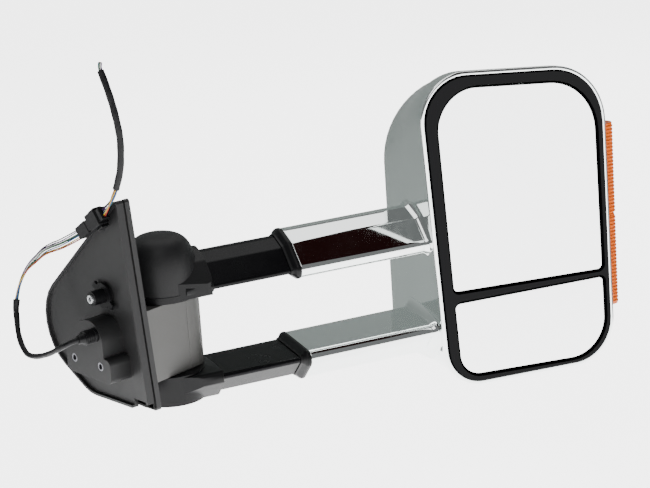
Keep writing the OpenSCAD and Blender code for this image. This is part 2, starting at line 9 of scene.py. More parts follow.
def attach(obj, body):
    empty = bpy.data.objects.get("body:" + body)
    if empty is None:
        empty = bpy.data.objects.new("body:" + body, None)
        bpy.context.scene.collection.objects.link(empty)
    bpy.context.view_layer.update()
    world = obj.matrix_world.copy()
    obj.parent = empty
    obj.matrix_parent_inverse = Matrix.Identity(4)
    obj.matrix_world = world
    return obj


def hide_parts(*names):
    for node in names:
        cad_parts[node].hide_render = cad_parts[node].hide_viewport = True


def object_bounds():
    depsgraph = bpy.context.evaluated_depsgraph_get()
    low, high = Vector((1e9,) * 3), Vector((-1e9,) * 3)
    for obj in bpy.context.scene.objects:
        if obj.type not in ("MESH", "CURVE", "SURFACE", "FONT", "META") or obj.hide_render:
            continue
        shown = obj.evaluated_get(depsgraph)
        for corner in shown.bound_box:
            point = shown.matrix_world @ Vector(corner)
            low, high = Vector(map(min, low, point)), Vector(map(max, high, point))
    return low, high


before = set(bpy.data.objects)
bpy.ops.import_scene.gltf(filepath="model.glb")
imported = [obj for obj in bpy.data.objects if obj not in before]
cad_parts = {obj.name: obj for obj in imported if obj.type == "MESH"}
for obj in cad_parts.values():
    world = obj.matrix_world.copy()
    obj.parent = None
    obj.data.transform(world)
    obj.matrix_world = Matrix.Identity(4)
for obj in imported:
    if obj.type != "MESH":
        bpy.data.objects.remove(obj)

bl_info = {
    "name": "Towing Mirror",
    "version": (1, 0, 0),
    "blender": (4, 5, 0),
    "location": "View3D > Sidebar > Mirror",
    "description": "Builds the looks of an extendable towing mirror around its CAD model",
    "category": "Object",
}

CAD_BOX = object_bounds()
MM = 0.001

# Rounded outlines as corner circles, (across, up, radius) in millimetres, anticlockwise
UPPER_SECTION = [(-18, 52, 8), (33, 53, 9), (15, 64, 18), (-1, 66, 10)]
LOWER_SECTION = [(-3, -47, 9), (21, -47, 10), (29, -30, 8.5), (-19, -33, 8)]
HEAD_OUTLINE = [(373, -48.5, 35.5), (473.5, -49.5, 37.5), (453.5, 142, 56), (365, 167.5, 39)]
UPPER_GLASS = [(350.6, 11, 5), (499.3, 4.6, 5), (450, 135, 52.5), (375, 158.5, 36.5)]
LOWER_GLASS = [(371.5, -55, 22.5), (469.5, -47, 35.5), (499.8, -13.2, 5), (351.5, -10.5, 5)]
BACK_OUTLINE = [(385, -38, 48), (470, -44, 38), (440, 96, 66), (408, 106, 70)]
LENS_OUTLINE = [(512, -29, 4), (520.5, -26, 6), (512, -8, 4)]
# Ends of the arm tubes and sleeves along X, in millimetres
TUBE_START, TUBE_END = 99, 270
UPPER_SLEEVE_START, LOWER_SLEEVE_START, SLEEVE_END = 200, 203, 340
# The shell along Y, in millimetres: its front and back, and the line where its lip meets its side
SHELL_FRONT, SHELL_BACK, LIP_LINE = -37, 92, -35.2
# How far the shell stands out from the bezel, its wall, and how deep and wide its back is rounded
SHELL_OVERHANG, SHELL_WALL = 4.5, 2.5
ROUND_DEPTH, ROUND_WIDTH = 32, 28
# Ends of the lens along Z, and the run of its ribs, in millimetres
LENS_LOW, LENS_HIGH = -41, 138
RIBS_LOW, RIBS_RUN = -39, 175
# Levels of the dome's skirt and top, in millimetres, and the power of its rounding
DOME_LOW, DOME_TOP, DOME_POWER = 50, 100, 3.4
# Radii of the loom, in metres
CABLE_RADIUS, WIRE_RADIUS, BUNDLE_RADIUS = 0.0022, 0.00058, 0.00125
SLEEVE_BORE, SLEEVE_RADIUS = 0.0023, 0.003
# Brightness of the studio
FLOOR_GLOW, SKY_STRENGTH = 4.0, 0.22

# The door plate's own axes stand at this angle to the arms
PLATE_ANGLE = math.radians(15)
DOOR = Matrix.Rotation(PLATE_ANGLE, 4, "Z")
PIVOT = Vector((80, 12, 0)) * MM

# Routes of the loom in the door plate's own axes, in metres
CABLE_ROUTE = [
    (-0.018, -0.016, 0.0285), (-0.022, -0.0155, 0.0282), (-0.026, -0.010, 0.025),
    (-0.029, 0.0, 0.0195), (-0.030, 0.012, 0.0135), (-0.030, 0.025, 0.0085),
    (-0.029, 0.039, 0.0045), (-0.028, 0.052, 0.0035), (-0.026, 0.062, 0.0075),
    (-0.024, 0.069, 0.013), (-0.022, 0.074, 0.020), (-0.020, 0.077, 0.028),
    (-0.018, 0.080, 0.037), (-0.016, 0.0805, 0.0455),
]
WIRES_ROUTE = [
    (-0.016, 0.0805, 0.0455), (-0.013, 0.078, 0.059), (-0.011, 0.0715, 0.070),
    (-0.009, 0.064, 0.079), (-0.006, 0.055, 0.087), (-0.004, 0.046, 0.094),
    (-0.001, 0.036, 0.099), (0.001, 0.027, 0.1025), (0.004, 0.018, 0.107),
    (0.007, 0.010, 0.1115), (0.009, 0.003, 0.1155),
]
PIGTAIL_ROUTE = [(0.012, -0.030, 0.139), (0.0125, -0.037, 0.145), (0.013, -0.043, 0.152)]
SLEEVE_ROUTE = [
    (0.014, -0.0495, 0.1625), (0.015, -0.056, 0.178), (0.015, -0.0595, 0.192),
    (0.015, -0.061, 0.207), (0.014, -0.0605, 0.221), (0.013, -0.0575, 0.237),
    (0.012, -0.053, 0.2515), (0.012, -0.046, 0.265),
]
ENDS_ROUTE = [(0.012, -0.0455, 0.2685), (0.012, -0.0465, 0.272)]
WIRE_COLOURS = {
    "red": (0.24, 0.008, 0.006), "yellow": (0.34, 0.22, 0.015), "blue": (0.012, 0.04, 0.17),
    "green": (0.012, 0.08, 0.03), "white": (0.34, 0.34, 0.33), "violet": (0.06, 0.02, 0.10),
    "black": (0.005, 0.005, 0.006),
}


# ---- Outlines, rings and edit-mode tools ----
def tangent_angle(a, b):
    """The direction in which the line that touches two corner circles leaves the first."""
    gap = math.hypot(b[0] - a[0], b[1] - a[1])
    return math.atan2(b[1] - a[1], b[0] - a[0]) - math.acos((a[2] - b[2]) / gap)


def outline(corners, inset=0.0, steps=12):
    """Points of a rounded outline in metres, drawn in by inset millimetres."""
    points = []
    for i, corner in enumerate(corners):
        before = tangent_angle(corners[i - 1], corner)
        after = tangent_angle(corner, corners[(i + 1) % len(corners)])
        turn = (after - before) % (2 * math.pi)
        radius = max(corner[2] - inset, 0.4)
        for k in range(steps + 1):
            a = before + turn * k / steps
            points.append(((corner[0] + radius * math.cos(a)) * MM,
                           (corner[1] + radius * math.sin(a)) * MM))
    return points


def ring_x(corners, inset, x, steps=12):
    """A ring across X, for arms and sleeves."""
    return [Vector((x * MM, u, v)) for u, v in outline(corners, inset, steps)]


def ring_y(corners, inset, y, steps=16):
    """A ring across Y, for the head."""
    return [Vector((u, y * MM, v)) for u, v in outline(corners, inset, steps)]


def head_at(y):
    """Corner circles of the shell at a level: the bezel's at the front, lower at the back."""
    t = min(max((y - SHELL_FRONT) / (SHELL_BACK - SHELL_FRONT), 0), 1)
    share = t * t * (3 - 2 * t)
    return [tuple(p + (q - p) * share for p, q in zip(front, back))
            for front, back in zip(HEAD_OUTLINE, BACK_OUTLINE)]


def ring_z(corners, inset, z, steps=8):
    """A level ring, for upright pieces."""
    return [Vector((u, v, z * MM)) for u, v in outline(corners, inset, steps)]


def round_ring(centre, axis, radius, count=64):
    """A round ring about an axis."""
    turn = Vector((0, 0, 1)).rotation_difference(Vector(axis)).to_matrix()
    return [Vector(centre) + turn @ Vector((radius * math.cos(a), radius * math.sin(a), 0))
            for a in (2 * math.pi * k / count for k in range(count))]


def shrunk(ring, share, push=(0, 0, 0)):
    """A ring drawn towards its middle, and moved by push."""
    middle = sum(ring, Vector()) / len(ring)
    return [middle + (p - middle) * share + Vector(push) for p in ring]


def crowned(ring, rise):
    """Rings from an edge in to a point near its middle, bulging by rise metres along Y."""
    return [shrunk(ring, 1 - k / 10.15, (0, rise * (1 - (1 - k / 10) ** 2), 0))
            for k in range(1, 11)]


def deselect():
    """Leaves edit mode with nothing selected."""
    if bpy.context.object and bpy.context.object.mode != "OBJECT":
        bpy.ops.object.mode_set(mode="OBJECT")
    bpy.ops.object.select_all(action="DESELECT")


def activate(ob):
    """Selects one object alone."""
    deselect()
    ob.select_set(True)
    bpy.context.view_layer.objects.active = ob


def settle(ob, before, ring):
    """Puts the newly extruded points, still lying on the last ring, onto the next one."""
    tree = KDTree(len(before))
    for i, p in enumerate(before):
        tree.insert(p, i)
    tree.balance()
    mesh = bmesh.from_edit_mesh(ob.data)
    for v in mesh.verts:
        if v.select:
            v.co = ring[tree.find(v.co)[1]]
    bmesh.update_edit_mesh(ob.data)


def loft(name, rings, capped=True, sharp=35):
    """A skin drawn ring by ring: a circle on the first ring, extruded onto each next one."""
    deselect()
    bpy.ops.mesh.primitive_circle_add(
        vertices=len(rings[0]), radius=0.1, fill_type="NGON" if capped else "NOTHING")
    ob = bpy.context.active_object
    ob.name = ob.data.name = name
    for v, p in zip(ob.data.vertices, rings[0]):
        v.co = p
    bpy.ops.object.mode_set(mode="EDIT")
    bpy.ops.mesh.select_all(action="SELECT")
    for before, ring in zip(rings, rings[1:]):
        bpy.ops.mesh.extrude_region_move()
        settle(ob, before, ring)
    bpy.ops.mesh.select_all(action="SELECT")
    bpy.ops.mesh.remove_doubles(threshold=1e-6)
    bpy.ops.mesh.normals_make_consistent(inside=False)
    bpy.ops.object.mode_set(mode="OBJECT")
    bpy.ops.object.shade_smooth_by_angle(angle=math.radians(sharp))
    add_modifier(ob, "WEIGHTED_NORMAL", keep_sharp=True, weight=80)
    return ob


def add_modifier(ob, kind, **settings):
    """Adds a modifier, sets it and applies it."""
    activate(ob)
    bpy.ops.object.modifier_add(type=kind)
    modifier = ob.modifiers[-1]
    for key, value in settings.items():
        setattr(modifier, key, value)
    bpy.ops.object.modifier_apply(modifier=modifier.name)


def rounded_copy(node, edge, name=None, segments=3, sharp=32):
    """A copy of a CAD node with its faces merged and its corners rounded by edge millimetres."""
    deselect()
    ob = bpy.data.objects.new(name or node + "_skin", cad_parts[node].data.copy())
    bpy.context.scene.collection.objects.link(ob)
    ob.data.name = ob.name
    activate(ob)
    bpy.ops.object.mode_set(mode="EDIT")
    bpy.ops.mesh.select_all(action="SELECT")
    bpy.ops.mesh.customdata_custom_splitnormals_clear()
    bpy.ops.mesh.remove_doubles(threshold=2e-6)
    bpy.ops.mesh.dissolve_limited(angle_limit=math.radians(0.6))
    bpy.ops.object.mode_set(mode="OBJECT")
    if edge:
        add_modifier(ob, "BEVEL", width=edge * MM, segments=segments, limit_method="ANGLE",
                     angle_limit=math.radians(sharp), use_clamp_overlap=True,
                     miter_outer="MITER_ARC", harden_normals=False)
    activate(ob)
    bpy.ops.object.shade_smooth_by_angle(angle=math.radians(40))
    add_modifier(ob, "WEIGHTED_NORMAL", keep_sharp=True, weight=80)
    return ob


def joined(pieces, name):
    """Several meshes made one."""
    deselect()
    for piece in pieces:
        piece.select_set(True)
    bpy.context.view_layer.objects.active = pieces[0]
    bpy.ops.object.join()
    pieces[0].name = pieces[0].data.name = name
    return pieces[0]


def fit_to(ob, body, slot, material, *nodes):
    """Gives a finished piece its material and its body, and hides the CAD nodes that it stands for.
    """
    ob.data.materials.clear()
    ob.data.materials.append(material)
    return keep(ob, body, slot, *nodes)


def keep(ob, body, slot, *nodes):
    """Ties a piece that has its materials to its body, and hides the CAD nodes that it stands for.
    """
    if nodes:
        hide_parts(*nodes)
    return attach(ob, body)


def smooth_route(points, count):
    """Evenly spaced points on a curve through the route."""
    p = [Vector(q) for q in points]
    p = [2 * p[0] - p[1]] + p + [2 * p[-1] - p[-2]]
    fine = []
    for a, b, c, d in zip(p, p[1:], p[2:], p[3:]):
        for k in range(24):
            t = k / 24
            fine.append(0.5 * (2 * b + (c - a) * t + (2 * a - 5 * b + 4 * c - d) * t * t
                               + (3 * b - a - 3 * c + d) * t ** 3))
    fine.append(p[-2])
    along = [0.0]
    for a, b in zip(fine, fine[1:]):
        along.append(along[-1] + (b - a).length)
    even, i = [], 0
    for k in range(count):
        at = along[-1] * k / (count - 1)
        while i < len(along) - 2 and along[i + 1] < at:
            i += 1
        share = (at - along[i]) / max(along[i + 1] - along[i], 1e-9)
        even.append(fine[i].lerp(fine[i + 1], min(share, 1.0)))
    return even


def on_door(points):
    """Points in the door plate's own axes, turned into the frame's."""
    return [DOOR @ Vector(p) for p in points]


def strand(name, points, radius, sizes=None):
    """A round cord along a run of points, as a curve of one open spline."""
    curve = bpy.data.curves.new(name, "CURVE")
    curve.dimensions = "3D"
    curve.bevel_depth = radius
    curve.bevel_resolution = 3
    curve.use_fill_caps = True
    spline = curve.splines.new("POLY")
    spline.points.add(len(points) - 1)
    for i, (q, p) in enumerate(zip(spline.points, points)):
        q.co = (*p, 1)
        q.radius = sizes[i] if sizes else 1.0
    spline.use_smooth = True
    ob = bpy.data.objects.new(name, curve)
    bpy.context.scene.collection.objects.link(ob)
    return ob


def wire_bundle(name, line, spread, across, turns):
    """Coloured wires beside each other along a line; spread says how far apart at each share."""
    wires = []
    total = len(WIRE_COLOURS)
    for n, colour in enumerate(WIRE_COLOURS):
        path = []
        for i, p in enumerate(line):
            share = i / (len(line) - 1)
            ahead = (line[min(i + 1, len(line) - 1)] - line[max(i - 1, 0)]).normalized()
            side = (across - ahead * across.dot(ahead)).normalized()
            up = ahead.cross(side)
            wide, round_share = spread(share)
            angle = 2 * math.pi * (n / (total - 1) + turns * share)
            ring = 0.0 if n == total - 1 else 1.0
            bundle = (side * math.cos(angle) + up * math.sin(angle)) * BUNDLE_RADIUS * ring
            fan = side * (n - (total - 1) / 2) * wide
            wave = up * math.sin(math.pi * (share * (1.4 + 0.21 * n) + 0.37 * n)) * wide * 0.9
            path.append(p + bundle * round_share + (fan + wave) * (1 - round_share))
        wire = strand(f"{name}_{colour}", path, WIRE_RADIUS)
        wire.data.materials.append(FINISHES["wire_" + colour])
        activate(wire)
        bpy.ops.object.convert(target="MESH")
        wires.append(wire)
    return joined(wires, name)


# ---- Finishes ----
FINISHES = {}


def new_finish(name, colour, roughness, metallic=0.0, specular=0.5):
    """A material with its shader's fixed values set, and its object coordinates."""
    material = bpy.data.materials.new(name)
    material.use_nodes = True
    tree = material.node_tree
    shader = tree.nodes["Principled BSDF"]
    shader.inputs["Base Color"].default_value = (*colour, 1)
    shader.inputs["Roughness"].default_value = roughness
    shader.inputs["Metallic"].default_value = metallic
    shader.inputs["Specular IOR Level"].default_value = specular
    place = tree.nodes.new("ShaderNodeTexCoord")
    FINISHES[name] = material
    return material, tree, shader, place


def noise(tree, place, scale, detail=3.0, roughness=0.5, distortion=0.0):
    """A noise pattern on the object's own coordinates; scale is patterns per metre."""
    node = tree.nodes.new("ShaderNodeTexNoise")
    node.inputs["Scale"].default_value = scale
    node.inputs["Detail"].default_value = detail
    node.inputs["Roughness"].default_value = roughness
    node.inputs["Distortion"].default_value = distortion
    tree.links.new(place.outputs["Object"], node.inputs["Vector"])
    return node


def vary(tree, source, low, high, target, start=0.3, stop=0.7):
    """Feeds a socket with a pattern, scaled to lie between low and high."""
    node = tree.nodes.new("ShaderNodeMapRange")
    node.inputs["From Min"].default_value = start
    node.inputs["From Max"].default_value = stop
    node.inputs["To Min"].default_value = low
    node.inputs["To Max"].default_value = high
    tree.links.new(source, node.inputs["Value"])
    tree.links.new(node.outputs["Result"], target)


def tint(tree, source, dark, light, shader, start=0.3, stop=0.7):
    """Colours a shader between two tones by a pattern."""
    ramp = tree.nodes.new("ShaderNodeValToRGB")
    ramp.color_ramp.elements[0].position = start
    ramp.color_ramp.elements[1].position = stop
    ramp.color_ramp.elements[0].color = (*dark, 1)
    ramp.color_ramp.elements[1].color = (*light, 1)
    tree.links.new(source, ramp.inputs["Fac"])
    tree.links.new(ramp.outputs["Color"], shader.inputs["Base Color"])


def bump(tree, sources, shader):
    """Stacks height patterns, each (output, depth in metres), into the shader's normal."""
    last = None
    for source, depth in sources:
        node = tree.nodes.new("ShaderNodeBump")
        node.inputs["Strength"].default_value = 1.0
        node.inputs["Distance"].default_value = depth
        tree.links.new(source, node.inputs["Height"])
        if last:
            tree.links.new(last.outputs["Normal"], node.inputs["Normal"])
        last = node
    tree.links.new(last.outputs["Normal"], shader.inputs["Normal"])


def moulded(name, colour, roughness, grain, depth, mottle=0.12, specular=0.5):
    """Moulded plastic: spark grain, faint flow mottling and uneven gloss."""
    _, tree, shader, place = new_finish(name, colour, roughness, specular=specular)
    fine = noise(tree, place, 1 / (grain * MM), 2.0, 0.6)
    cloud = noise(tree, place, 28, 4.0, 0.55, 0.4)
    dark = tuple(c * (1 - mottle) for c in colour)
    light = tuple(c * (1 + mottle) for c in colour)
    tint(tree, cloud.outputs["Fac"], dark, light, shader)
    vary(tree, cloud.outputs["Fac"], roughness - 0.05, roughness + 0.06,
         shader.inputs["Roughness"])
    bump(tree, [(cloud.outputs["Fac"], 0.00012), (fine.outputs["Fac"], depth * MM)], shader)


def plated(name, colour, rough_low, rough_high, ripple):
    """Bright plating: faint ripple from the moulding under it and a little handling haze."""
    _, tree, shader, place = new_finish(name, colour, rough_low, 1.0)
    haze = noise(tree, place, 34, 5.0, 0.6, 0.6)
    wave = noise(tree, place, 19, 1.0, 0.3)
    vary(tree, haze.outputs["Fac"], rough_low, rough_high, shader.inputs["Roughness"], 0.42, 0.75)
    bump(tree, [(wave.outputs["Fac"], ripple * MM)], shader)


def metal(name, colour, roughness, along, grain=900):
    """Machined metal with fine tool lines around or along one axis."""
    _, tree, shader, place = new_finish(name, colour, roughness, 1.0)
    mapping = tree.nodes.new("ShaderNodeMapping")
    mapping.inputs["Scale"].default_value = along
    tree.links.new(place.outputs["Object"], mapping.inputs["Vector"])
    lines = tree.nodes.new("ShaderNodeTexNoise")
    lines.inputs["Scale"].default_value = grain
    lines.inputs["Detail"].default_value = 2.0
    tree.links.new(mapping.outputs["Vector"], lines.inputs["Vector"])
    cloud = noise(tree, place, 60, 3.0)
    tint(tree, cloud.outputs["Fac"], tuple(c * 0.86 for c in colour), colour, shader)
    vary(tree, lines.outputs["Fac"], roughness - 0.08, roughness + 0.1,
         shader.inputs["Roughness"])
    bump(tree, [(lines.outputs["Fac"], 0.00003)], shader)


def make_finishes(look):
    """All the finishes of the mirror."""
    moulded("plate_plastic", tuple(look.plate_colour), 0.50, 0.45, 0.018, specular=0.3)
    moulded("cover_plastic", tuple(c * 1.25 for c in look.plate_colour), 0.46, 0.45, 0.018,
            specular=0.3)
    moulded("dome_plastic", tuple(look.dome_colour), 0.47, 0.8, 0.06, 0.15, specular=0.2)
    moulded("knuckle_plastic", tuple(look.knuckle_colour), 0.38, 0.6, 0.02, specular=0.16)
    moulded("pillar_plastic", tuple(look.pillar_colour), 0.44, 0.7, 0.05, 0.10)
    moulded("black_plastic", (0.004, 0.004, 0.0045), 0.36, 0.5, 0.012, specular=0.16)
    moulded("natural_plastic", (0.62, 0.58, 0.50), 0.42, 0.9, 0.01, 0.06)
    moulded("green_board", (0.02, 0.16, 0.05), 0.35, 1.5, 0.01)
    plated("chrome_plating", tuple(look.chrome_colour), 0.035, look.chrome_haze, 0.05)
    metal("zinc_steel", (0.60, 0.61, 0.62), 0.36, (1, 1, 9))
    metal("dark_steel", (0.22, 0.22, 0.24), 0.42, (1, 1, 9))
    metal("cast_alloy", (0.46, 0.47, 0.48), 0.55, (1, 1, 1), 350)
    metal("turned_brass", (0.72, 0.50, 0.20), 0.30, (9, 1, 1))

    _, tree, shader, place = new_finish("tube_coat", (0.0025, 0.0025, 0.003), 0.24, specular=0.10)
    peel = noise(tree, place, 420, 2.0)
    rub = noise(tree, place, 55, 4.0, 0.6)
    tint(tree, rub.outputs["Fac"], (0.002, 0.002, 0.0025), (0.003, 0.003, 0.0036), shader)
    vary(tree, rub.outputs["Fac"], 0.24, 0.28, shader.inputs["Roughness"])
    bump(tree, [(peel.outputs["Fac"], 0.000012)], shader)

    _, tree, shader, place = new_finish("bezel_gloss", (0.0015, 0.0015, 0.002), 0.09, specular=0.06)
    dust = noise(tree, place, 130, 5.0, 0.7)
    peel = noise(tree, place, 60, 1.0)
    vary(tree, dust.outputs["Fac"], 0.06, 0.20, shader.inputs["Roughness"], 0.45, 0.8)
    bump(tree, [(peel.outputs["Fac"], 0.00002)], shader)

    _, tree, shader, place = new_finish("mirror_silver", (0.97, 0.975, 0.98), 0.02, 1.0)
    haze = noise(tree, place, 22, 4.0, 0.6, 0.5)
    vary(tree, haze.outputs["Fac"], 0.012, 0.035, shader.inputs["Roughness"])

    _, tree, shader, place = new_finish("gasket_foam", (0.012, 0.012, 0.012), 0.9, specular=0.2)
    cells = tree.nodes.new("ShaderNodeTexVoronoi")
    cells.inputs["Scale"].default_value = 900
    tree.links.new(place.outputs["Object"], cells.inputs["Vector"])
    tint(tree, cells.outputs["Distance"], (0.008, 0.008, 0.008), (0.020, 0.020, 0.020), shader,
         0.1, 0.6)
    bump(tree, [(cells.outputs["Distance"], 0.0004)], shader)

    _, tree, shader, place = new_finish("amber_lens", tuple(look.amber_colour), 0.16, specular=0.3)
    shader.inputs["Subsurface Weight"].default_value = 0.15
    shader.inputs["Subsurface Radius"].default_value = (0.004, 0.002, 0.0005)
    flow = noise(tree, place, 160, 3.0)
    vary(tree, flow.outputs["Fac"], 0.10, 0.24, shader.inputs["Roughness"])
    bump(tree, [(flow.outputs["Fac"], 0.00004)], shader)

    _, tree, shader, place = new_finish("cable_jacket", (0.005, 0.005, 0.0055), 0.45,
                                         specular=0.18)
    folds = noise(tree, place, 260, 3.0, 0.6, 0.8)
    tint(tree, folds.outputs["Fac"], (0.003, 0.003, 0.0035), (0.008, 0.008, 0.009), shader)
    vary(tree, folds.outputs["Fac"], 0.34, 0.6, shader.inputs["Roughness"])
    bump(tree, [(folds.outputs["Fac"], 0.00035)], shader)

    for colour, value in WIRE_COLOURS.items():
        _, tree, shader, place = new_finish("wire_" + colour, value, 0.35, specular=0.3)
        grain = noise(tree, place, 500, 2.0)
        vary(tree, grain.outputs["Fac"], 0.28, 0.46, shader.inputs["Roughness"])
        tint(tree, grain.outputs["Fac"], tuple(c * 0.8 for c in value), value, shader)


# ---- What a user may change ----
class MirrorLook(bpy.types.PropertyGroup):
    """Colours and gloss of the mirror."""

    plate_colour: bpy.props.FloatVectorProperty(
        name="Door plate", description="Colour of the door plate", subtype="COLOR",
        default=(0.012, 0.012, 0.0124), min=0, max=1)
    dome_colour: bpy.props.FloatVectorProperty(
        name="Dome", description="Colour of the grained dome", subtype="COLOR",
        default=(0.009, 0.009, 0.0095), min=0, max=1)
    knuckle_colour: bpy.props.FloatVectorProperty(
        name="Knuckles", description="Colour of both knuckles", subtype="COLOR",
        default=(0.005, 0.005, 0.0055), min=0, max=1)
    pillar_colour: bpy.props.FloatVectorProperty(
        name="Pillar", description="Colour of the fixed pillar", subtype="COLOR",
        default=(0.052, 0.051, 0.048), min=0, max=1)
    chrome_colour: bpy.props.FloatVectorProperty(
        name="Plating", description="Colour of the bright plating", subtype="COLOR",
        default=(0.83, 0.86, 0.85), min=0, max=1)
    amber_colour: bpy.props.FloatVectorProperty(
        name="Indicator", description="Colour of the indicator lens", subtype="COLOR",
        default=(0.50, 0.085, 0.003), min=0, max=1)
    chrome_haze: bpy.props.FloatProperty(
        name="Plating haze", description="Roughness of the plating where it was handled",
        default=0.11, min=0.02, max=0.4)


class MirrorSizes(bpy.types.PropertyGroup):
    """Small sizes that only the looks have."""

    plastic_edge: bpy.props.FloatProperty(
        name="Moulded corner", description="Radius of moulded corners, in millimetres",
        default=1.0, min=0.3, max=2.0)
    rib_pitch: bpy.props.FloatProperty(
        name="Lens rib pitch", description="Distance of the lens ribs, in millimetres",
        default=3.4, min=2.0, max=6.0)
    floor_drop: bpy.props.FloatProperty(
        name="Floor", description="Distance of the studio floor below the object",
        default=0.16, min=0.05, max=1.0, unit="LENGTH")


# ---- Stage and loom, which come first ----
def area_light(name, place, aim, size, power):
    """A soft rectangular light pointed at a place."""
    deselect()
    bpy.ops.object.light_add(type="AREA", location=place)
    lamp = bpy.context.active_object
    lamp.name = name
    lamp.data.shape = "RECTANGLE"
    lamp.data.size, lamp.data.size_y = size
    lamp.data.energy = power
    lamp.rotation_euler = (Vector(aim) - Vector(place)).to_track_quat("-Z", "Y").to_euler()
    lamp.visible_camera = False


def reflected_card(name, place, aim, size, colour, glow=0.0):
    """A card that is seen only in reflections."""
    deselect()
    bpy.ops.mesh.primitive_plane_add(size=1, location=place)
    card = bpy.context.active_object
    card.name = name
    card.scale = (size[0], size[1], 1)
    card.rotation_euler = (Vector(aim) - Vector(place)).to_track_quat("Z", "Y").to_euler()
    material, _, shader, _ = new_finish(name, colour, 0.9, specular=0.0)
    shader.inputs["Emission Color"].default_value = (*colour, 1)
    shader.inputs["Emission Strength"].default_value = glow
    card.data.materials.append(material)
    card.visible_camera = card.visible_diffuse = card.visible_shadow = False
    card.visible_transmission = False


class MIRROR_OT_stage(bpy.types.Operator):
    """Camera, floor, lights and the cards that the plating reflects"""

    bl_idname = "mirror.stage"
    bl_label = "Stage"

    def execute(self, context):
        scene = context.scene
        deselect()
        bpy.ops.object.camera_add()
        camera = bpy.context.active_object
        right = Vector((0.9033, -0.4236, -0.0669))
        up = Vector((0.1776, 0.2274, 0.9574))
        back = right.cross(up)
        turn = Matrix((right, up, back)).transposed().to_4x4()
        camera.matrix_world = Matrix.Translation((-0.6160, -1.9131, 0.6769)) @ turn
        camera.data.lens = 132.9
        camera.data.sensor_width = 36
        camera.data.clip_start, camera.data.clip_end = 0.05, 60
        camera.data.dof.use_dof = False
        scene.camera = camera

        low = CAD_BOX[0].z - scene.mirror_sizes.floor_drop
        bpy.ops.mesh.primitive_grid_add(x_subdivisions=2, y_subdivisions=2, size=24,
                                        location=(0.2, 0, low))
        floor = bpy.context.active_object
        floor.name = "studio_floor"
        _, tree, shader, place = new_finish("floor_paint", (0.86, 0.86, 0.86), 0.8, specular=0.1)
        paint = noise(tree, place, 3, 4.0)
        tint(tree, paint.outputs["Fac"], (0.89, 0.89, 0.89), (0.91, 0.91, 0.91), shader)
        shader.inputs["Emission Color"].default_value = (1, 1, 1, 1)
        shader.inputs["Emission Strength"].default_value = FLOOR_GLOW
        floor.data.materials.append(FINISHES["floor_paint"])

        world = bpy.data.worlds.new("studio_air")
        world.use_nodes = True
        sky = world.node_tree.nodes["Background"]
        sky.inputs["Color"].default_value = (0.93, 0.95, 0.96, 1)
        sky.inputs["Strength"].default_value = SKY_STRENGTH
        scene.world = world

        middle = (0.22, 0, 0.05)
        area_light("key_light", (-0.6, -1.3, 1.9), middle, (1.5, 1.5), 15)
        area_light("top_light", (0.4, 0.5, 1.9), middle, (2.0, 1.6), 22)
        area_light("rear_light", (1.6, 1.6, 1.0), middle, (1.2, 1.2), 12)
        reflected_card("sleeve_flag", (0.51, -0.11, 0.50), (0.27, -0.02, 0.06), (0.46, 0.26),
                       (0.0035, 0.001, 0.001))
        reflected_card("back_card", (0.30, 0.36, 0.10), (0.30, 0, 0.10), (1.6, 0.62),
                       (0.15, 0.165, 0.16), 0.05)
        reflected_card("right_card", (0.85, -0.05, 0.05), (0, -0.05, 0.05), (0.9, 0.5),
                       (0.13, 0.14, 0.145), 0.05)
        reflected_card("slate_card", (-0.20, 0.345, -0.115), (-0.20, 0, -0.115), (0.52, 0.19),
                       (0.010, 0.013, 0.016))
        reflected_card("left_flag", (-0.62, 0.06, -0.02), (0.33, 0.0, 0.02), (0.42, 0.34),
                       (0.02, 0.025, 0.032))
        return {"FINISHED"}


